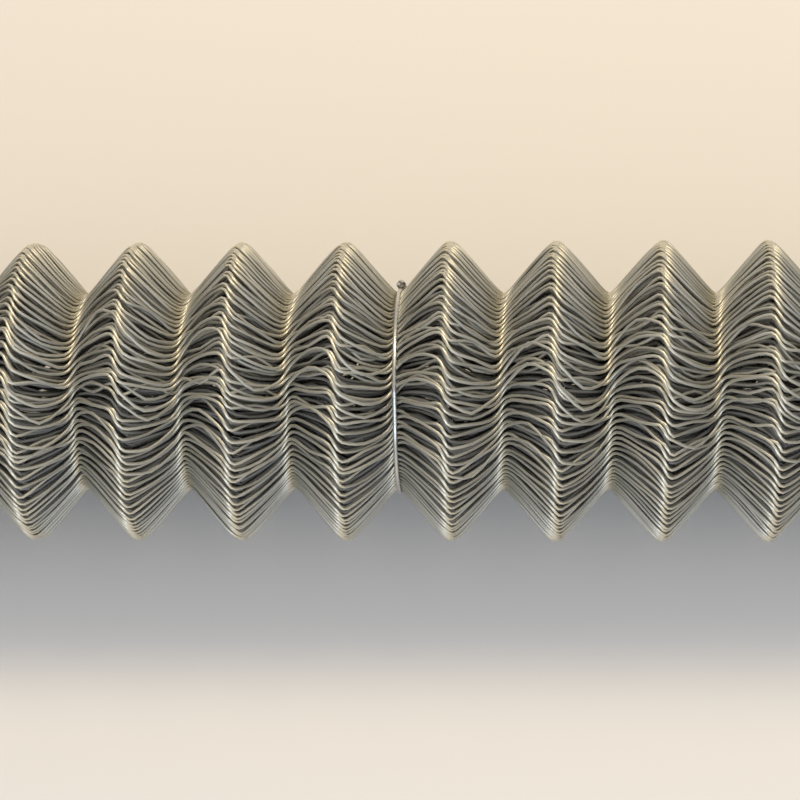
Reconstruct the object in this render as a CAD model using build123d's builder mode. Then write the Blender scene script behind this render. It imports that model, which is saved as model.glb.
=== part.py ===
"""A tightly wound roll of galvanised chain-link mesh, lying on its side and held by three tie wires.

The roll's axis is X, halfway along it is over the origin, and it rests on the plane Z = 0.
Each strand of the mesh is a flattened spiral of wire that hooks into the next one. In this roll the mesh
is folded up at those hooks, so the strands stand on edge, side by side, all with their waves in step.
"""

import math
import os

from build123d import *

# The mesh: its square opening, its wire, and how many waves high it is
mesh = 50.0
wire = 2.5
waves = 12
pitch = (mesh + wire) * math.sqrt(2)
height = waves * pitch

# How close the strands stand in the valleys, and how close the turns lie on each other
strand_gap = 1.6
side_clearance = 0.1
clearance = 0.3

# One strand: a four-sided bar for the round wire, with straight flanks in two layers and slanting bends
# between them. A valley's bend slants just so much that it clears the next strand's.
wave_depth = pitch / 2
layer = 4.6
bar = 0.8 * wire
bar_reach = bar / math.sqrt(2)
strand_step = wire + strand_gap
ridge_bend = 3.8
valley_bend = layer * math.tan(math.asin((2 * bar_reach + side_clearance) / strand_step))
flank_slope = math.atan2(wave_depth, pitch / 2 - ridge_bend - valley_bend)

# The turned-up tip that closes each end of a strand
tip_rise = 2.0
tip_reach = 1.5

# The winding, from the mesh's free end inwards, which has sprung open a little
outer_valley = 70.8
turn_step = (2 * bar_reach + clearance) / math.cos(flank_slope)
turns = 6.5
free_end = 70.0
loosening = 0.25
loose_strands = 5
strands_per_node = 6
overlap = 60.0

# The underside, pressed flat by the roll's weight
down = 270.0
flattening = 1.5
flat_reach = 20.0

# The inner turns, split into segments round the open core
core_segments = 12

# The ties and the twists that close them
tie_wire = 3.0
tie_valleys = (1, waves // 2, waves - 1)
tie_sides = 6
twist_place = 160.0
twist_rounds = 2.5
twist_radius = tie_wire / 2 + clearance
twist_length = 4.5 * tie_wire * twist_rounds

os.makedirs("parts", exist_ok=True)


def valley_radius(angle):
    """Radius of the mesh's valleys, so many degrees in from the free end."""
    return outer_valley - turn_step * angle / 360


def strand_angles(end):
    """Angles of the strands from the free end to this angle, loosened near the free end."""
    angles = [0.0]
    while angles[-1] < end or len(angles) % strands_per_node > 0:
        last = angles[-1]
        step = strand_step * (1 + loosening * math.exp(-len(angles) / loose_strands))
        angles.append(last + math.degrees(step / valley_radius(last)))
    return angles


def zigzag(low):
    """Corners of the mesh's waves along the roll, as pairs of length and height over the axis."""
    corners = [(-height / 2, low)]
    for wave in range(waves):
        ridge = (wave + 0.5 - waves / 2) * pitch
        corners.append((ridge - ridge_bend, low + wave_depth))
        corners.append((ridge + ridge_bend, low + wave_depth))
        if wave < waves - 1:
            valley = ridge + pitch / 2
            corners.append((valley - valley_bend, low))
            corners.append((valley + valley_bend, low))
    corners.append((height / 2, low))
    return corners


def strand_course():
    """Corners of one strand's wire, with its valleys at height 0 and each end turned in and up."""
    side = layer
    course = []
    for place, (x, z) in enumerate(zigzag(0)):
        course.append((x, side, z))
        if place % 2 == 1 and 0 < place < 4 * waves - 1:
            side = -side
    last = height / 2 + valley_bend
    start = [(-last - tip_reach, 0, tip_rise), (-last, 0, 0)]
    end = [(last, 0, 0), (last + tip_reach, 0, tip_rise)]
    return start + course + end


floor_depth = valley_radius(down - free_end) + wave_depth + bar_reach - flattening


def seat(angle):
    """Place of the strand that lies so many degrees in from the free end, pressed in if it is at the bottom."""
    around = free_end + angle
    reach = valley_radius(angle)
    from_bottom = math.radians(abs(around - down))
    if from_bottom < math.radians(flat_reach):
        deepest = (floor_depth - bar_reach - layer * math.sin(from_bottom)) / math.cos(from_bottom)
        reach = min(reach, deepest - wave_depth)
    return Location((0, 0, floor_depth), (90 - around, 0, 0)) * Location((0, 0, reach))


# The outer turn, strand by strand, with a few strands of the next one under the free end
with BuildPart() as strand:
    with BuildLine() as course:
        Polyline(*strand_course())
    with BuildSketch(Plane(origin=course.wire() @ 0, x_dir=(0, 1, 0), z_dir=course.wire() % 0)):
        Rectangle(bar, bar)
    sweep(path=course.wire(), transition=Transition.RIGHT)

angles = strand_angles(360 + overlap)
for number in range(len(angles) // strands_per_node):
    first = number * strands_per_node
    with BuildPart() as outer_strands:
        with Locations(*[seat(angle) for angle in angles[first : first + strands_per_node]]):
            add(strand.part)
    outer_strands.part.label = f"outer_strands_{number + 1:02d}"
    export_step(outer_strands.part, f"parts/{outer_strands.part.label}.step", write_pcurves=False)

# The inner turns, one corrugated tube in segments
segment_arc = 360 / core_segments
tube_outside = valley_radius(angles[-1]) - 2 * bar_reach - clearance
core_radius = outer_valley - turns * turn_step
for number in range(core_segments):
    with BuildPart() as inner_turns:
        with BuildSketch(Plane.XZ):
            with BuildLine():
                Polyline(*zigzag(tube_outside), *reversed(zigzag(core_radius)), close=True)
            make_face()
        revolve(axis=Axis.X, revolution_arc=segment_arc)
    turned = Location((0, 0, floor_depth), (number * segment_arc, 0, 0))
    inner_turns.part.label = f"inner_turns_{number + 1:02d}"
    export_step(inner_turns.part.moved(turned), f"parts/{inner_turns.part.label}.step", write_pcurves=False)


def tie_course(radius):
    """Corners of a taut wire round the winding: it follows the strands and bridges the free end's step."""
    bridge = math.degrees(math.acos(1 - turn_step / radius))
    steps = round((360 - bridge) / 5)
    course = []
    for step in range(steps + 1):
        angle = (360 - bridge) * step / steps
        around = math.radians(free_end + angle)
        reach = radius - turn_step * angle / 360
        course.append((0, -reach * math.cos(around), reach * math.sin(around)))
    return course


def twist_course(phase):
    """Corners of one end of a tie, wound round the other end along Y."""
    steps = round(8 * twist_rounds)
    course = []
    for step in range(steps + 1):
        turned = phase + math.tau * twist_rounds * step / steps
        x = twist_radius * math.cos(turned)
        z = twist_radius * math.sin(turned)
        course.append((x, twist_length * step / steps, z))
    return course


# The ties, each a ring of wire in a valley
tie_radius = outer_valley + bar_reach + tie_wire / 2 + clearance
for number, valley in enumerate(tie_valleys):
    with BuildPart() as tie:
        with BuildLine(Plane(origin=(valley * pitch - height / 2, 0, floor_depth))) as ring:
            Polyline(*tie_course(tie_radius), close=True)
        with BuildSketch(Plane(origin=ring.wire() @ 0, z_dir=ring.wire() % 0)):
            RegularPolygon(tie_wire / 2, tie_sides)
        sweep(path=ring.wire(), transition=Transition.RIGHT)
    tie.part.label = f"tie_{number + 1}"
    export_step(tie.part, f"parts/{tie.part.label}.step")

# The two ends of each tie, twisted together and bent down into its valley
tie_depth = tie_radius - turn_step * (twist_place - free_end) / 360
twist_depth = tie_depth + tie_wire + twist_radius + clearance
for number, valley in enumerate(tie_valleys):
    turned = Location((valley * pitch - height / 2, 0, floor_depth), (90 - twist_place, 0, 0))
    place = Plane(turned * Location((0, 0, twist_depth)))
    with BuildPart() as twist:
        for phase in (0, math.pi):
            with BuildLine(place) as end:
                Polyline(*twist_course(phase))
            with BuildSketch(Plane(origin=end.wire() @ 0, z_dir=end.wire() % 0)):
                RegularPolygon(tie_wire / 2, tie_sides)
            sweep(path=end.wire(), transition=Transition.RIGHT)
    twist.part.label = f"tie_twist_{number + 1}"
    export_step(twist.part, f"parts/{twist.part.label}.step")
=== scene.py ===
# %% [markdown]
# A tightly wound roll of chain-link mesh, lying on its side.
# The real thing is about five hundred and forty strands of galvanised wire. Each strand is a flattened spiral
# that hooks into the next one. To make so small a roll, the mesh is folded up at its hooks like bellows, by
# turns at a ridge and at a valley. A strand turned half round and moved on by half a wave is the same curve,
# so the folded strands all stand in step, side by side, and the roll shows ridges and valleys all along its
# length. This lesson builds every strand as a curve worked out with numpy, inside the CAD model's box.

# %% Load the CAD frame
import math

import bpy
import numpy as np
from mathutils import Matrix, Vector


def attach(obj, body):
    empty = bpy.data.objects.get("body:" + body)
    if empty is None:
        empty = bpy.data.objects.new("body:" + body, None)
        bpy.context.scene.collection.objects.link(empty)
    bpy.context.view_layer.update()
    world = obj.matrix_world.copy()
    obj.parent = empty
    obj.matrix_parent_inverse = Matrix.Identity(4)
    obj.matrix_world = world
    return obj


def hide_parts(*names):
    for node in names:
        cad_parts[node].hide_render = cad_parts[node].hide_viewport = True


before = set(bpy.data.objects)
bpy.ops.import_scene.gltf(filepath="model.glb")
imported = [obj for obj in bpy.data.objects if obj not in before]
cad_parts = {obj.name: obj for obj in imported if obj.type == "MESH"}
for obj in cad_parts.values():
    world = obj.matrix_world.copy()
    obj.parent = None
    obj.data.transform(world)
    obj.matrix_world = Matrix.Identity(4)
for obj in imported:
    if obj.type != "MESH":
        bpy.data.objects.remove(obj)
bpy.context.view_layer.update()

# %% [markdown]
# The sizes come first, in metres. They are the ones that drive the CAD model: a 50 mm mesh of 2.5 mm wire,
# twelve waves high. One full wave is the diagonal of the mesh's square, and half of it is the wave's depth.
# The wire is drawn 2.3 mm thick, as its picture measures, and bar_reach is half of the CAD bar's diagonal.

# %% Name the sizes
wire = 0.0025
wire_seen = 0.0023
mesh_opening = 0.050
waves = 12
pitch = (mesh_opening + wire) * math.sqrt(2)
height = waves * pitch
wave_depth = pitch / 2
outer_valley = 0.0708
turn_step = 0.005123
turns = 6.5
strand_step = 0.0041
bar_reach = 0.0014142
loosening = 0.25
loose_strands = 5
free_end = math.radians(70)
down = math.radians(270)
flattening = 0.0015
flat_reach = math.radians(20)
dice = np.random.default_rng(11)
print("mesh height", round(height, 4), "one wave", round(pitch, 4))

# %% [markdown]
# The winding is a spiral: each turn lies one step further in than the turn round it. A strand stands every
# 4.1 mm of arc, measured in the valleys, where the strands are squeezed together. The first few strands, at
# the mesh's free end, have sprung open a little. The strands' angles are what the whole lesson hangs on.

# %% Place the strands round the winding
def valley_radius(angle):
    """Radius of the valleys: the outer one, less one turn's step for each whole turn of angle."""
    return outer_valley - turn_step * angle / math.tau


def strand_angles():
    """Angles from the free end inwards: each adds one step of arc, longer by an exponential near the end."""
    found = [0.0]
    while found[-1] < math.tau * turns:
        step = strand_step * (1 + loosening * math.exp(-len(found) / loose_strands))
        found.append(found[-1] + step / valley_radius(found[-1]))
    return np.array(found)


angles = strand_angles()
radii = valley_radius(angles)
floor_depth = valley_radius(down - free_end) + wave_depth + bar_reach - flattening
print(len(angles), "strands, core radius", round(radii[-1], 4), "axis height", round(floor_depth, 4))

# %% [markdown]
# One strand, seen from the side, is a zigzag with round corners. Seen from above it lies in two layers and
# crosses from one to the other at every bend: in a short steep stroke on a ridge, where there is room, and in
# a long flat one in a valley, where the next strand is close. Both are functions of one angle, theta, which
# is 0 on a ridge and pi in a valley. So every strand of a turn can be worked out in one array.

# %% The curve of a strand
swing = 0.0078
bow = 0.3
squareness = 3.5
ridge_squareness = 0.8
steps_seen = 10
knuckle_points = 7


def bend_stations(steps):
    """Values of theta for one strand: even steps of q, less a share of the sine of 2q, so that the points
    crowd at the bends and thin out on the straight flanks."""
    crowding = 0.29
    q = np.linspace(-math.pi, (2 * waves - 1) * math.pi, 2 * waves * steps + 1)
    return q - crowding * np.sin(2 * q)


def wave_height(theta):
    """Zigzag with round corners: arcsine of a cosine held just under 1, scaled to run from 0 to 1."""
    sharpness = 0.955
    return 0.5 + 0.5 * np.arcsin(sharpness * np.cos(theta)) / math.asin(sharpness)


def layer_swing(theta):
    """Swing between the layers, from -1 to 1: minus the hyperbolic tangent of a sine, whose factor is larger
    on a ridge than in a valley, mixed with the plain sine, which bows the flanks."""
    factor = squareness + ridge_squareness * np.cos(theta)
    crossing = np.tanh(factor * np.sin(theta)) / np.tanh(factor)
    return -(1 - bow) * crossing - bow * np.sin(theta)


stations = bend_stations(steps_seen)
shortest = np.diff(stations).min() / math.tau * pitch
print("points along a strand", len(stations), "shortest step mm", round(1000 * shortest, 2))

# %% [markdown]
# A real roll is never even. Whole groups of strands drift together and open gaps between the groups. Two
# strands that share a hook lean together there, and the pairs are different ones at the ridges and in the
# valleys. Every bend of every strand is a little off by itself, and near the free end, where nothing holds
# the mesh, the flanks bow and cross as well. Seeded dice work it out, so the roll is the same every time: the
# last number that a wander is given is its own seed.

# %% Uneven strands
drift_count = 7
drift_spacing = dice.uniform(6, 20, drift_count)
drift_slant = dice.uniform(-1.2, 1.2, drift_count)
drift_phase = dice.uniform(0, math.tau, drift_count)
drift_size = 0.00011 * drift_spacing
lean_on_ridge = 0.0018
lean_in_valley = 0.0009
loose_reach = math.radians(32)
loosest = 2
end_wave = 0.0022
end_gap = 0.0006
end_strands = 3.2


def group_drift(picked, along):
    """Drift of whole groups: a sum of sine waves over strand number and length, each with its own phase."""
    total = np.zeros((len(picked), len(along)))
    for spacing, slant, phase, size in zip(drift_spacing, drift_slant, drift_phase, drift_size):
        rounds = picked[:, None] / spacing + slant * along[None, :] / pitch
        total += size * np.sin(math.tau * rounds + phase)
    return total


def wander(picked, along, size, seed):
    """Slow drift of each strand by itself: a random value at every half wave, joined by smooth steps."""
    knots = np.linspace(-height / 2 - pitch / 4, height / 2 + pitch / 4, 2 * waves + 2)
    place = np.clip((along - knots[0]) / (knots[1] - knots[0]), 0, len(knots) - 1.001)
    left = place.astype(int)
    share = place - left
    share = share * share * (3 - 2 * share)
    values = np.stack([np.random.default_rng((seed, int(n))).normal(0, size, len(knots)) for n in picked])
    return values[:, left] * (1 - share) + values[:, left + 1] * share


def pair_lean(picked, along, crown):
    """Lean of hooked pairs: a random size for each pair and bend, with one strand of the pair going up and
    the other down. Strands 0 and 1 are a pair at the ridges, 1 and 2 in the valleys."""
    side = np.where(picked % 2 == 0, 1.0, -1.0)[:, None]
    at_ridge = np.abs(wander(picked // 2, along, lean_on_ridge, 6)) * np.clip(2 * crown - 1, 0, 1)
    in_valley = np.abs(wander((picked + 1) // 2, along, lean_in_valley, 7)) * np.clip(1 - 2 * crown, 0, 1)
    return side * (at_ridge - in_valley)


def looseness(picked):
    """How loose the mesh is: a bell curve round the free end, on both turns there, that rises to 2."""
    turned = np.stack([angles[picked], angles[picked] - math.tau])
    return loosest * np.exp(-((turned / loose_reach) ** 2)).max(0)[:, None]


def on_flank(theta):
    """1 halfway up a flank and 0 at the bends and in the knuckles: the square of theta's sine."""
    return np.pad(np.sin(theta) ** 2, knuckle_points)


def sprung_end(picked, along):
    """How far the free end's strands spring away from the mesh: a random wave along the roll, never less
    than 0, that dies out by an exponential of the strand's number."""
    wave = np.abs(wander(np.array([0]), along, end_wave, 5)) + end_gap
    return wave * np.exp(-picked / end_strands)[:, None]


print("groups drift by up to", round(1000 * drift_size.sum(), 1), "mm")

# %% [markdown]
# With so much drift the strands would cut into each other. Real ones shoulder each other aside instead. The
# next function does the same: wherever two neighbours come closer than a wire's thickness, each gives way by
# half of what is missing, and a few dozen rounds of this settle the whole turn, bend by bend. In the loose
# part a strand may pass over its neighbour on the flanks, so the least distance there falls below zero.

# %% Let the strands shoulder each other aside
settling_rounds = 30
spare_room = 1.02
passing = 3.0


def shouldered(picked, side, crown, theta):
    """Sideways places with no two strands closer than they can lie: the wire's thickness over the cosine
    of the angle at which both cross, less where the mesh is loose, against the spacing at that height."""
    slope = np.gradient(layer_swing(theta) * swing, theta / math.tau * pitch)
    slope = np.pad(slope, knuckle_points, mode="edge")
    least = spare_room * wire_seen * np.sqrt(1 + slope ** 2)
    least = least * (1 - passing * looseness(picked[1:]) * on_flank(theta))
    arc = np.diff(angles[picked])[:, None] * (radii[picked][1:, None] + wave_depth * crown[None, :])
    for _ in range(settling_rounds):
        missing = np.clip(least - (arc + np.diff(side, axis=0)), 0, None) / 2
        side[:-1] -= missing
        side[1:] += missing
    return side


# %% [markdown]
# At both ends of the roll the wires are cut off and their tips are turned over the neighbour's, which is
# called a knuckle. It keeps the strands from turning out of each other. The tip goes out past the mesh, round
# through half a circle to the next strand, and dives under it by half a wire.

# %% The knuckle at a strand's end
knuckle_radius = strand_step / 2
knuckle_out = 0.0022
knuckle_sunk = 0.0011
knuckle_turn = math.radians(200)


def knuckle():
    """Half a circle in the flat of the mesh, from a strand to its neighbour, that sinks as it turns."""
    turned = np.linspace(0, knuckle_turn, knuckle_points + 1)[1:]
    out = knuckle_radius * np.sin(turned) + knuckle_out
    across = knuckle_radius * (1 - np.cos(turned))
    sunk = knuckle_sunk * np.cos(turned)
    return np.stack([out, across, sunk], 1)


print("knuckles reach", round(1000 * knuckle()[:, 0].max(), 1), "mm past the mesh")

# %% [markdown]
# Now the parts come together. The strand's points are laid out flat, as length, sideways place and height
# over the valley. The drift is a quarter as strong in the valleys, where the strands are squeezed. On the
# flanks each strand arches by a random amount. Where the mesh is loose, every second one arches up and lies
# over its neighbours, which sag, so that their wires cross. Then the flat strand is wound round the roll: its
# height goes out along the radius, and its sideways place goes along the tangent. The lowest strands are
# pressed in, where the roll's weight rests.

# %% Lay out and wind the strands
bend_wander = 0.0009
flank_wander = 0.0022
loose_arch = 0.0011
height_wander = 0.0006
loose_over = 0.0021
loose_under = 0.0002
loosest_flank = 1.2


def strand_curves(picked, steps):
    """Flat strands as arrays of length, side and height, with a knuckle at both ends. The strands picked
    are neighbours, from one number to another."""
    theta = bend_stations(steps)
    along = theta / math.tau * pitch - height / 2 + pitch / 2
    crown = wave_height(theta)
    tip = knuckle()
    start = np.stack([-height / 2 - tip[::-1, 0], tip[::-1, 1], tip[::-1, 2]], 1)
    end = np.stack([height / 2 + tip[:, 0], tip[:, 1], tip[:, 2]], 1)
    body = np.stack([along, layer_swing(theta) * swing, crown * wave_depth], 1)
    line = np.concatenate([start, body, end])
    crown = np.pad(crown, knuckle_points)
    length = line[:, 0]
    loose = looseness(picked)
    held = np.minimum(loose, loosest_flank)
    flank = on_flank(theta)
    even = picked[:, None] % 2 == 0
    arching = np.pad(-np.sin(theta), knuckle_points)
    uneven = (group_drift(picked, length) + wander(picked, length, bend_wander, 1)) * (0.25 + 0.75 * crown)
    uneven = (uneven + pair_lean(picked, length, crown)) * (0.5 + 0.25 * loose)
    uneven = uneven + wander(picked, length, flank_wander, 4) * flank * (0.4 + 0.9 * held)
    uneven = uneven + np.where(even, loose_arch, -loose_arch) * loose * arching - sprung_end(picked, length)
    side = line[None, :, 1] + shouldered(picked, uneven, crown, theta)
    lifted = line[None, :, 2] - np.abs(wander(picked, length, height_wander, 2)) * crown
    lifted = lifted + np.where(even, loose_over, -loose_under) * held * flank
    shifted = line[None, :, 0] + wander(picked, length, height_wander, 3)
    return shifted, side, lifted, crown


def wind(picked, length, side, lifted):
    """Winds flat strands round the roll: a point's place is its radius times the strand's outward
    direction plus its side times the tangent, and its length stays along X."""
    around = free_end + angles[picked][:, None]
    from_bottom = np.abs((around - down + math.pi) % math.tau - math.pi)
    leaning = np.minimum(from_bottom, flat_reach)
    deepest = (floor_depth - bar_reach - (1 - bow) * swing * np.sin(leaning)) / np.cos(leaning) - wave_depth
    reach = radii[picked][:, None]
    reach = np.where(from_bottom < flat_reach, np.minimum(reach, deepest), reach)
    out = reach + lifted
    y = -out * np.cos(around) + side * np.sin(around)
    z = floor_depth + out * np.sin(around) + side * np.cos(around)
    return np.stack([length + 0 * out, y, z], -1)


# %% [markdown]
# A curve becomes wire when a ring of points is carried along it. The ring needs a direction to start from
# that the wire never runs along: for a strand that is the way out from the roll's axis. The same helper makes
# the twisted ends. All rings of all strands of a piece go into one mesh at once, which is far quicker than a
# separate object for every strand. Each point also gets three values for the finishes: a shade that is the
# strand's own, how near it is to a crown, and how deep it lies in the roll, from 0 on the outer turn.

# %% Carry a ring along each line
def wire_mesh(name, lines, upward, radius, sides, marks):
    """Ring point = line point + radius x (cosine x normal + sine x binormal); the ends are closed by caps."""
    count, points = lines.shape[:2]
    tangent = np.gradient(lines, axis=1)
    tangent /= np.linalg.norm(tangent, axis=2, keepdims=True)
    normal = np.cross(tangent, upward)
    normal /= np.linalg.norm(normal, axis=2, keepdims=True)
    binormal = np.cross(tangent, normal)
    turned = (np.arange(sides) + 0.5) / sides * math.tau
    ring = np.cos(turned)[:, None] * normal[:, :, None, :] + np.sin(turned)[:, None] * binormal[:, :, None, :]
    vertices = (lines[:, :, None, :] + radius * ring).reshape(-1, 3)
    first = (np.arange(count)[:, None] * points + np.arange(points - 1)[None, :]).ravel() * sides
    corner = np.arange(sides)
    beside = (corner + 1) % sides
    a = first[:, None] + corner
    b = first[:, None] + beside
    quads = np.stack([a, b, b + sides, a + sides], -1).reshape(-1, 4)
    start_cap = (np.arange(count) * points * sides)[:, None] + corner[::-1]
    end_cap = (np.arange(count) * points * sides + (points - 1) * sides)[:, None] + corner
    order = np.concatenate([quads.ravel(), start_cap.ravel(), end_cap.ravel()])
    sizes = np.concatenate([np.full(len(quads), 4), np.full(2 * count, sides)])
    smooth = np.concatenate([np.ones(len(quads), bool), np.zeros(2 * count, bool)])
    mesh = bpy.data.meshes.new(name)
    mesh.vertices.add(len(vertices))
    mesh.vertices.foreach_set("co", vertices.ravel().astype(np.float32))
    mesh.loops.add(len(order))
    mesh.loops.foreach_set("vertex_index", order.astype(np.int32))
    mesh.polygons.add(len(sizes))
    mesh.polygons.foreach_set("loop_start", (np.cumsum(sizes) - sizes).astype(np.int32))
    mesh.polygons.foreach_set("use_smooth", smooth)
    mesh.update(calc_edges=True)
    for title, values in marks.items():
        spread = np.repeat(np.broadcast_to(values, (count, points)).ravel(), sides)
        mesh.attributes.new(title, "FLOAT", "POINT").data.foreach_set("value", spread.astype(np.float32))
    piece = bpy.data.objects.new(name, mesh)
    bpy.context.scene.collection.objects.link(piece)
    return piece


def wound(picked, steps):
    """The finished lines of neighbouring strands, the way out from the axis at each, and their marks."""
    length, side, lifted, crown = strand_curves(picked, steps)
    lines = wind(picked, length, side, lifted)
    around = free_end + angles[picked][:, None, None]
    outward = np.concatenate([0 * around, -np.cos(around), np.sin(around)], -1) + 0 * lines
    shade = np.stack([np.random.default_rng((9, int(n))).random() for n in picked])[:, None] + 0 * side
    under = angles[picked] / math.tau - 1
    # depth drives the painted shade that darkens the turns below the outer one.
    depth = np.where(under > 0, np.clip(0.1 + 1.5 * under, 0, 1), 0)[:, None] + 0 * side
    return lines, outward, {"shade": shade, "crown": crown + 0 * side, "depth": depth}


def strand_piece(name, turn, chosen, sides):
    """One piece of some of a turn's strands."""
    lines, outward, marks = turn
    marks = {title: values[chosen] for title, values in marks.items()}
    return wire_mesh(name, lines[chosen], outward[chosen], wire_seen / 2, sides, marks)


def triangles(piece):
    """Triangles of a piece: each face has two less than its corners."""
    return sum(len(face.vertices) - 2 for face in piece.data.polygons)


# %% [markdown]
# The finishes share three effects, and each is a node group that is built once. Hot-dipped zinc freezes in
# crystals, which show as small patches of lighter and darker grey. The hooks rub on each other, so the bends
# of the outer turn are smoother and carry a painted highlight, a pale cream. Deep in the roll the colour is
# darkened as painted shade, and dust lies in patches, more of it away from the crowns. The last group is the
# fine pitting of the skin. A group puts out only masks and values, and each material gives it its own
# numbers.

# %% Small helpers for node groups
def new_group(name, wanted, given):
    """A shader node group with named inputs and outputs; returns the group and its two end nodes."""
    group = bpy.data.node_groups.new(name, "ShaderNodeTree")
    for title, kind, start in wanted:
        socket = group.interface.new_socket(title, in_out="INPUT", socket_type=kind)
        if start is not None:
            socket.default_value = start
    for title, kind in given:
        group.interface.new_socket(title, in_out="OUTPUT", socket_type=kind)
    return group, group.nodes.new("NodeGroupInput"), group.nodes.new("NodeGroupOutput")


def arithmetic(tree, operation, first, second, clamp=False):
    """One step of arithmetic between two sockets or plain numbers."""
    step = tree.nodes.new("ShaderNodeMath")
    step.operation = operation
    step.use_clamp = clamp
    for socket, value in zip(step.inputs, (first, second)):
        if isinstance(value, (int, float)):
            socket.default_value = value
        else:
            tree.links.new(value, socket)
    return step.outputs["Value"]


def noise(tree, place, scale, detail=2.0):
    """Noise at a place: scale is in waves for each metre."""
    texture = tree.nodes.new("ShaderNodeTexNoise")
    texture.inputs["Detail"].default_value = detail
    tree.links.new(place, texture.inputs["Vector"])
    if isinstance(scale, (int, float)):
        texture.inputs["Scale"].default_value = scale
    else:
        tree.links.new(scale, texture.inputs["Scale"])
    return texture.outputs["Fac"]


# %% Node group: crystals of zinc
crystal_scale = 450.0
crystals, wants, gives = new_group(
    "zinc_crystals",
    [
        ("Place", "NodeSocketVector", None),
        ("Scale", "NodeSocketFloat", crystal_scale),
        ("Contrast", "NodeSocketFloat", 0.3),
    ],
    [("Tone", "NodeSocketFloat")],
)
cells = crystals.nodes.new("ShaderNodeTexVoronoi")
crystals.links.new(wants.outputs["Place"], cells.inputs["Vector"])
crystals.links.new(wants.outputs["Scale"], cells.inputs["Scale"])
split = crystals.nodes.new("ShaderNodeSeparateColor")
crystals.links.new(cells.outputs["Color"], split.inputs["Color"])
coarse = arithmetic(crystals, "MULTIPLY", wants.outputs["Scale"], 0.15)
blotch = noise(crystals, wants.outputs["Place"], coarse)
mixed = arithmetic(crystals, "ADD", arithmetic(crystals, "MULTIPLY", split.outputs["Red"], 0.5), blotch)
centred = arithmetic(crystals, "SUBTRACT", mixed, 0.75)
swayed = arithmetic(crystals, "MULTIPLY", centred, wants.outputs["Contrast"])
crystals.links.new(arithmetic(crystals, "ADD", swayed, 1.0), gives.inputs["Tone"])
print("crystals are about", round(1000 / crystal_scale, 1), "mm across")

# %% Node group: worn bends with a painted highlight, dust and painted shade in the depths
handling_and_painted_light, wants, gives = new_group(
    "rub_highlight_dust_and_shade",
    [
        ("Place", "NodeSocketVector", None),
        ("Crown", "NodeSocketFloat", 0.0),
        ("Depth", "NodeSocketFloat", 0.0),
        ("Dustiness", "NodeSocketFloat", 0.3),
    ],
    [("RubAndHighlight", "NodeSocketFloat"), ("DustAndShade", "NodeSocketFloat")],
)
patches = noise(handling_and_painted_light, wants.outputs["Place"], 90.0, 3.0)
over_middle = arithmetic(handling_and_painted_light, "SUBTRACT", wants.outputs["Crown"], 0.5)
from_middle = arithmetic(handling_and_painted_light, "ABSOLUTE", over_middle, 0.0)
at_bend = arithmetic(handling_and_painted_light, "POWER", arithmetic(handling_and_painted_light, "MULTIPLY", from_middle, 2.0), 6.0)
buried = arithmetic(handling_and_painted_light, "MULTIPLY", wants.outputs["Depth"], 12.0)
reached = arithmetic(handling_and_painted_light, "SUBTRACT", 1.0, buried, clamp=True)
# Painted highlight: this mask makes the bends smoother and also mixes a pale cream into their colour.
rubbing_and_highlight = arithmetic(handling_and_painted_light, "MULTIPLY", arithmetic(handling_and_painted_light, "ADD", patches, 0.7), reached)
handling_and_painted_light.links.new(arithmetic(handling_and_painted_light, "MULTIPLY", at_bend, rubbing_and_highlight, clamp=True), gives.inputs["RubAndHighlight"])
# Painted shade: the colour darkens towards dark grey with depth in the roll, where the gaps lie in shadow.
painted_depth_shade = arithmetic(handling_and_painted_light, "MULTIPLY", wants.outputs["Depth"], 0.65)
sheltered = arithmetic(handling_and_painted_light, "SUBTRACT", 1.0, wants.outputs["Crown"])
settled = arithmetic(handling_and_painted_light, "MULTIPLY", sheltered, patches)
scattered = arithmetic(handling_and_painted_light, "MULTIPLY", settled, wants.outputs["Dustiness"])
handling_and_painted_light.links.new(arithmetic(handling_and_painted_light, "ADD", painted_depth_shade, scattered, clamp=True), gives.inputs["DustAndShade"])

# %% Node group: pitted skin
pitting, wants, gives = new_group(
    "pitted_skin",
    [("Place", "NodeSocketVector", None), ("Scale", "NodeSocketFloat", 900.0)],
    [("Height", "NodeSocketFloat")],
)
pitting.links.new(noise(pitting, wants.outputs["Place"], wants.outputs["Scale"], 3.0), gives.inputs["Height"])
print("groups", [group.name for group in bpy.data.node_groups])

# %% [markdown]
# Zinc that has stood outdoors is between a metal and a paint: it still has a metal's streak of light along
# the wire, but its grey skin scatters light too. So it is rough, and smoother on the worn bends. The colour
# runs from a dull olive grey to a pale one with the strand's own shade. It turns a pale cream at the worn
# bends as a painted highlight, and dark grey deep in the roll as painted shade with some dust. Metallic is
# lower where the dust and the painted shade lie.

# %% The wire's finish
def placed(material, group, **values):
    """Places a group in a material, gives it Object coordinates and its own numbers or links."""
    tree = material.node_tree
    node = tree.nodes.new("ShaderNodeGroup")
    node.node_tree = group
    tree.links.new(tree.nodes["place"].outputs["Object"], node.inputs["Place"])
    for title, value in values.items():
        if isinstance(value, (int, float)):
            node.inputs[title].default_value = value
        else:
            tree.links.new(value, node.inputs[title])
    return node


def mark(tree, name):
    """Reads one of the values that every point of a wire carries."""
    reader = tree.nodes.new("ShaderNodeAttribute")
    reader.attribute_name = name
    return reader.outputs["Fac"]


def blend_colours(tree, share, first, second):
    """Mixes two colours, each a socket or three plain numbers, by a share."""
    mixer = tree.nodes.new("ShaderNodeMix")
    mixer.data_type = "RGBA"
    for title, value in (("Factor", share), ("A", first), ("B", second)):
        socket = next(s for s in mixer.inputs if s.name == title and s.enabled)
        if isinstance(value, (int, float)):
            socket.default_value = value
        elif isinstance(value, tuple):
            socket.default_value = (*value, 1)
        else:
            tree.links.new(value, socket)
    return next(s for s in mixer.outputs if s.enabled)


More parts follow.
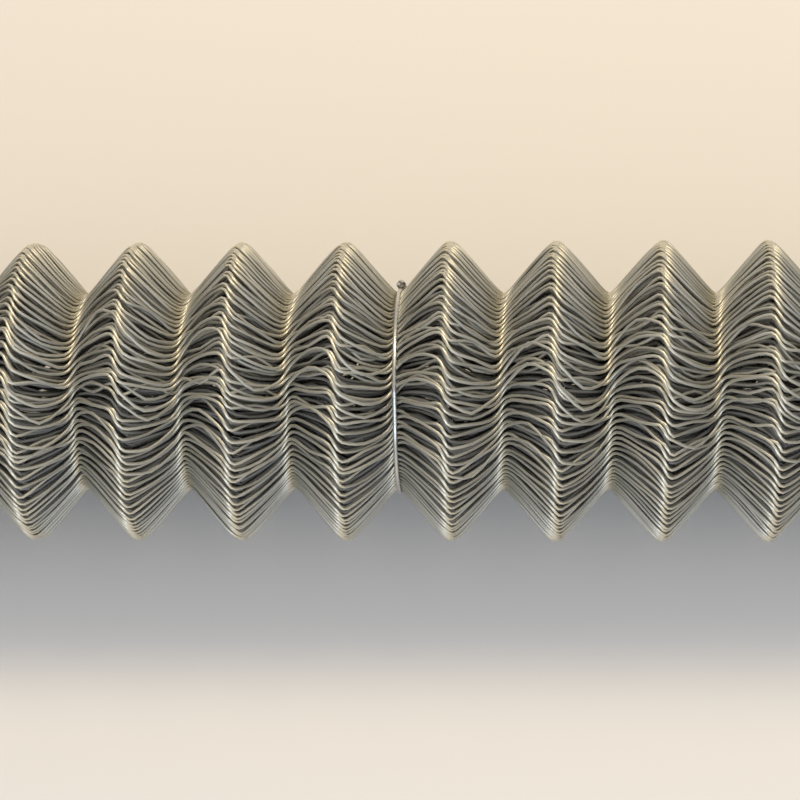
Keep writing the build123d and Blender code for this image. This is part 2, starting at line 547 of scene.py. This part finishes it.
def wire_finish(name, dull, pale, rubbed_highlight, dust_and_shade_colour, roughness, dustiness):
    """Zinc-coated wire: dull to pale by the strand's shade and crystals, with a painted highlight and
    smoother skin at its worn bends, and painted shade and dust below.
    """
    material = bpy.data.materials.new(name)
    material.use_nodes = True
    tree = material.node_tree
    shader = tree.nodes["Principled BSDF"]
    place = tree.nodes.new("ShaderNodeTexCoord")
    place.name = "place"
    crown = mark(tree, "crown")
    depth = mark(tree, "depth")
    shade = mark(tree, "shade")
    zinc = placed(material, crystals, Scale=crystal_scale, Contrast=0.45)
    wear_and_painted_light = placed(material, handling_and_painted_light, Crown=crown, Depth=depth, Dustiness=dustiness)
    skin = placed(material, pitting, Scale=1100.0)
    raised = arithmetic(tree, "ADD", shade, 0.25)
    share = arithmetic(tree, "MULTIPLY", raised, zinc.outputs["Tone"], clamp=True)
    colour = blend_colours(tree, share, dull, pale)
    # Painted highlight: pale cream at the worn bends of the outer turn.
    colour = blend_colours(tree, wear_and_painted_light.outputs["RubAndHighlight"], colour, rubbed_highlight)
    # Painted shade deep in the roll, mixed with dust in patches: both darken the colour.
    colour = blend_colours(tree, wear_and_painted_light.outputs["DustAndShade"], colour, dust_and_shade_colour)
    tree.links.new(colour, shader.inputs["Base Color"])
    dust_and_shade_metal = arithmetic(tree, "MULTIPLY", wear_and_painted_light.outputs["DustAndShade"], 0.5)
    tree.links.new(arithmetic(tree, "SUBTRACT", 0.85, dust_and_shade_metal, clamp=True), shader.inputs["Metallic"])
    smoother = arithmetic(tree, "MULTIPLY", wear_and_painted_light.outputs["RubAndHighlight"], -0.19)
    rougher = arithmetic(tree, "MULTIPLY", wear_and_painted_light.outputs["DustAndShade"], 0.25)
    change = arithmetic(tree, "ADD", smoother, rougher)
    tree.links.new(arithmetic(tree, "ADD", change, roughness, clamp=True), shader.inputs["Roughness"])
    bump = tree.nodes.new("ShaderNodeBump")
    bump.inputs["Strength"].default_value = 0.35
    bump.inputs["Distance"].default_value = 0.0002
    tree.links.new(skin.outputs["Height"], bump.inputs["Height"])
    tree.links.new(bump.outputs["Normal"], shader.inputs["Normal"])
    return material


# The pale cream colour at the bends is a painted highlight; the dark grey one is painted shade with a little
# dust.
mesh_finish = wire_finish(
    "weathered_zinc_wire",
    dull=(0.34, 0.33, 0.285), pale=(0.57, 0.55, 0.47), rubbed_highlight=(0.72, 0.67, 0.53), dust_and_shade_colour=(0.21, 0.205, 0.195),
    roughness=0.54, dustiness=0.2,
)
tie_finish = wire_finish(
    "bright_tie_wire",
    dull=(0.44, 0.43, 0.39), pale=(0.66, 0.65, 0.61), rubbed_highlight=(0.90, 0.89, 0.86), dust_and_shade_colour=(0.3, 0.29, 0.26),
    roughness=0.25, dustiness=0.2,
)
print("finishes", mesh_finish.name, "and", tie_finish.name)

# %% [markdown]
# The outer turn is what shows, so it gets the finest wire: ten steps to a half wave and seven sides. The CAD
# model holds it in 21 nodes of six strands, and each piece here stands for one of them.

# %% Wind the outer turn
strands_per_node = 6
outer_nodes = sum(name.startswith("outer_strands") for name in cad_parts)
outer_sides = 7
outer = np.arange(outer_nodes * strands_per_node)
turn = wound(outer, steps_seen)
added = 0
for number in range(outer_nodes):
    chosen = outer // strands_per_node == number
    piece = strand_piece(f"outer_wires_{number + 1:02d}", turn, chosen, outer_sides)
    piece.data.materials.append(mesh_finish)
    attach(piece, "root")
    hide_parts(f"outer_strands_{number + 1:02d}")
    added += triangles(piece)
print(outer_nodes, "pieces of the outer turn,", added, "triangles")

# %% [markdown]
# Under it lie five and a half more turns. The CAD model holds them as one corrugated tube in twelve
# segments, and here they are wound strand by strand, because they show through the gaps and at the ends. The
# turn right under the outer one still shows well; the deeper ones need only a few steps and four sides.

# %% Wind the inner turns
core_segments = 12
inner_sides = 4
steps_below = 7
steps_deep = 4
turns_near = 2.3
segment = ((free_end + angles) % math.tau / math.tau * core_segments).astype(int)
below = np.arange(len(outer), np.searchsorted(angles, turns_near * math.tau))
deep = np.arange(below[-1] + 1, len(angles))
turn_below = wound(below, steps_below)
turns_deep = wound(deep, steps_deep)


def joined(name, pieces):
    """One piece from several: their meshes are joined into the first."""
    with bpy.context.temp_override(active_object=pieces[0], selected_editable_objects=pieces):
        bpy.ops.object.join()
    pieces[0].name = name
    pieces[0].data.name = name
    return pieces[0]


for number in range(core_segments):
    name = f"inner_wires_{number + 1:02d}"
    near = strand_piece(name + "_near", turn_below, segment[below] == number, inner_sides + 1)
    far = strand_piece(name + "_far", turns_deep, segment[deep] == number, inner_sides)
    piece = joined(name, [near, far])
    piece.data.materials.append(mesh_finish)
    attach(piece, "root")
    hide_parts(f"inner_turns_{number + 1:02d}")
    added += triangles(piece)
print(len(below) + len(deep), "inner strands; triangles so far", added)

# %% [markdown]
# Three wires tie the roll, each pulled tight in a valley. A tie is a ring that follows the winding's spiral
# and bridges the step at the free end in a straight run. In front it has slipped a little along the roll. Its
# two ends are twisted together with pliers and bent down out of the way. Both are lines with a ring carried
# along, like the strands, but rounder.

# %% Tie wires
tie_wire = 0.003
tie_sides = 14
tie_valleys = (1, waves // 2, waves - 1)
tie_clearance = 0.0003
tie_radius = outer_valley + bar_reach + tie_wire / 2 + tie_clearance
tie_steps = 160
bridge_steps = 8
tie_slip = 0.0007


def tie_aside(around):
    """How far a tie has slipped along the roll: a size times one more than a cosine, so most in front."""
    return tie_slip * (1 + np.cos(around - free_end))


def tie_line():
    """Ring round the winding: its radius shrinks evenly with the angle, and the last stretch, whose cosine is
    one less a turn's step over the radius, runs straight back to the start."""
    bridge = math.acos(1 - turn_step / tie_radius)
    angle = np.linspace(0, math.tau - bridge, tie_steps)
    reach = tie_radius - turn_step * angle / math.tau
    around = free_end + angle
    ring = np.stack([tie_aside(around), -reach * np.cos(around), reach * np.sin(around)], 1)
    share = np.linspace(0, 1, bridge_steps + 1)[1:-1, None]
    straight = ring[-1] * (1 - share) + ring[0] * share
    return np.concatenate([ring, straight])


def closed_wire(name, line, upward, radius, sides):
    """A closed ring of wire: the direction at a point runs from the one before it to the one after, and the
    last ring of points is joined to the first."""
    tangent = np.roll(line, -1, axis=0) - np.roll(line, 1, axis=0)
    tangent /= np.linalg.norm(tangent, axis=1, keepdims=True)
    normal = np.cross(tangent, upward)
    normal /= np.linalg.norm(normal, axis=1, keepdims=True)
    binormal = np.cross(tangent, normal)
    turned = np.arange(sides) / sides * math.tau
    ring = np.cos(turned)[:, None] * normal[:, None] + np.sin(turned)[:, None] * binormal[:, None]
    vertices = (line[:, None] + radius * ring).reshape(-1, 3)
    row = np.arange(len(line))[:, None] * sides
    after = (np.arange(len(line))[:, None] + 1) % len(line) * sides
    corner = np.arange(sides)
    beside = (corner + 1) % sides
    quads = np.stack([row + corner, row + beside, after + beside, after + corner], -1).reshape(-1, 4)
    mesh = bpy.data.meshes.new(name)
    mesh.from_pydata(vertices, [], quads)
    mesh.polygons.foreach_set("use_smooth", np.ones(len(quads), bool))
    mesh.update()
    for title, value in (("shade", 0.6), ("crown", 0.5), ("depth", 0.0)):
        values = np.full(len(vertices), value, np.float32)
        mesh.attributes.new(title, "FLOAT", "POINT").data.foreach_set("value", values)
    piece = bpy.data.objects.new(name, mesh)
    bpy.context.scene.collection.objects.link(piece)
    return piece


for number, valley in enumerate(tie_valleys):
    line = tie_line() + np.array([valley * pitch - height / 2, 0, floor_depth])
    piece = closed_wire(f"tie_wire_{number + 1}", line, np.array([1.0, 0, 0]), tie_wire / 2, tie_sides)
    piece.data.materials.append(tie_finish)
    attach(piece, "root")
    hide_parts(f"tie_{number + 1}")
    added += triangles(piece)
print("tie radius", round(tie_radius, 4), "triangles so far", added)

# %% Twisted ends
twist_place = math.radians(160)
twist_rounds = 2.5
twist_radius = tie_wire / 2 + tie_clearance
twist_length = 4.5 * tie_wire * twist_rounds
twist_steps = 90
twist_sides = 10
twist_opening = 0.25
twist_bend = 0.0035


def twisted_ends():
    """Two helices, half a turn apart, along the ring's tangent: towards the cut tips they open out and bend
    down to the strands."""
    share = np.linspace(0, 1, twist_steps)
    ring_reach = tie_radius - turn_step * (twist_place - free_end) / math.tau
    reach = ring_reach + tie_wire + twist_radius + tie_clearance
    widened = twist_radius * (1 + twist_opening * share ** 8)
    lines = []
    for phase in (0, math.pi):
        turned = phase + math.tau * twist_rounds * share
        across = widened * np.cos(turned)
        out = reach + widened * np.sin(turned) - twist_bend * share ** 2
        lines.append(np.stack([across, twist_length * share, out], 1))
    return np.stack(lines)


for number, valley in enumerate(tie_valleys):
    flat = twisted_ends()
    outward = np.array([0, -math.cos(twist_place), math.sin(twist_place)])
    forward = np.array([0, math.sin(twist_place), math.cos(twist_place)])
    middle = np.array([valley * pitch - height / 2 + tie_aside(twist_place), 0, floor_depth])
    sideways = np.array([1.0, 0, 0])
    lines = middle + flat[..., :1] * sideways + flat[..., 1:2] * forward + flat[..., 2:] * outward
    marks = {"shade": np.array([[0.7], [0.5]]), "crown": np.array([[0.5]]), "depth": np.array([[0.0]])}
    name = f"twisted_ends_{number + 1}"
    piece = wire_mesh(name, lines, outward + 0 * lines, tie_wire / 2, twist_sides, marks)
    piece.data.materials.append(tie_finish)
    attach(piece, "root")
    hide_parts(f"tie_twist_{number + 1}")
    added += triangles(piece)
print("scene adds", added, "triangles")

# %% [markdown]
# The stage is a plain pale floor. The camera looks down steeply from the front with a long lens, and a little
# from the right. Its turn is worked out from three directions, so that the roll's axis stays level.

# %% Floor
far = 4
floor_mesh = bpy.data.meshes.new("floor")
floor_mesh.from_pydata([(-far, -far, 0), (far, -far, 0), (far, far, 0), (-far, far, 0)], [], [(0, 1, 2, 3)])
floor = bpy.data.objects.new("floor", floor_mesh)
bpy.context.scene.collection.objects.link(floor)
floor_paint = bpy.data.materials.new("pale_floor")
floor_paint.use_nodes = True
floor_shader = floor_paint.node_tree.nodes["Principled BSDF"]
floor_shader.inputs["Base Color"].default_value = (0.83, 0.78, 0.71, 1)
floor_shader.inputs["Roughness"].default_value = 0.8
floor_mesh.materials.append(floor_paint)
print("floor", 2 * far, "m across")

# %% Camera
view_tilt = math.radians(67)
view_distance = 1.843
aim_below = 0.005
aim = Vector((0.0003, 0, floor_depth)) - Vector((0, math.sin(view_tilt), math.cos(view_tilt))) * aim_below
foot = Vector((0.1293, 0, floor_depth))
lens = bpy.data.cameras.new("camera")
lens.sensor_width = 36
lens.lens = 117
lens.clip_end = 20
camera = bpy.data.objects.new("camera", lens)
camera.location = foot + Vector((0, -math.cos(view_tilt), math.sin(view_tilt))) * view_distance
ahead = (aim - camera.location).normalized()
right = (Vector((1, 0, 0)) - ahead * ahead.x).normalized()
up = right.cross(ahead)
camera.rotation_euler = Matrix((right, up, -ahead)).transposed().to_euler()
bpy.context.scene.collection.objects.link(camera)
bpy.context.scene.camera = camera
print("camera at", [round(v, 3) for v in camera.location])

# %% [markdown]
# Round wire shows a streak of light only where it runs square to the direction halfway between the lamp and
# the eye. The steep flanks never do, but the strokes over the ridges and in the valleys do, if the lamps
# reach far to both sides. So the warm lamp is a long strip above and behind the roll, and the cool one is a
# long strip low in front. The world is a trace paler for the camera and for rays that bounce off metal than
# for the light that fills the gaps.

# %% Lights
def soft_light(name, place, size, power, colour):
    """A rectangle of light that faces the roll."""
    lamp = bpy.data.lights.new(name, "AREA")
    lamp.shape = "RECTANGLE"
    lamp.size, lamp.size_y = size
    lamp.energy = power
    lamp.color = colour
    light = bpy.data.objects.new(name, lamp)
    light.location = place
    light.rotation_euler = (Vector((0, 0, floor_depth)) - Vector(place)).to_track_quat("-Z", "Y").to_euler()
    bpy.context.scene.collection.objects.link(light)


fill = 0.6
soft_light("warm_strip", (0.15, 0.95, 1.75), (2.8, 0.4), 27, (1.0, 0.84, 0.58))
soft_light("cool_strip", (0.2, -1.6, 0.8), (2.6, 0.5), 15, (0.62, 0.76, 1.0))
world = bpy.data.worlds.new("studio")
world.use_nodes = True
sky = world.node_tree
seen = sky.nodes.new("ShaderNodeLightPath")
bounced = arithmetic(sky, "MAXIMUM", seen.outputs["Is Camera Ray"], seen.outputs["Is Glossy Ray"])
strength = arithmetic(sky, "ADD", arithmetic(sky, "MULTIPLY", bounced, 0.02), fill)
sky.nodes["Background"].inputs["Color"].default_value = (0.92, 0.93, 0.97, 1)
sky.links.new(strength, sky.nodes["Background"].inputs["Strength"])
bpy.context.scene.world = world
bpy.context.scene.view_settings.view_transform = "Standard"
print("lights", [lamp.name for lamp in bpy.data.lights])
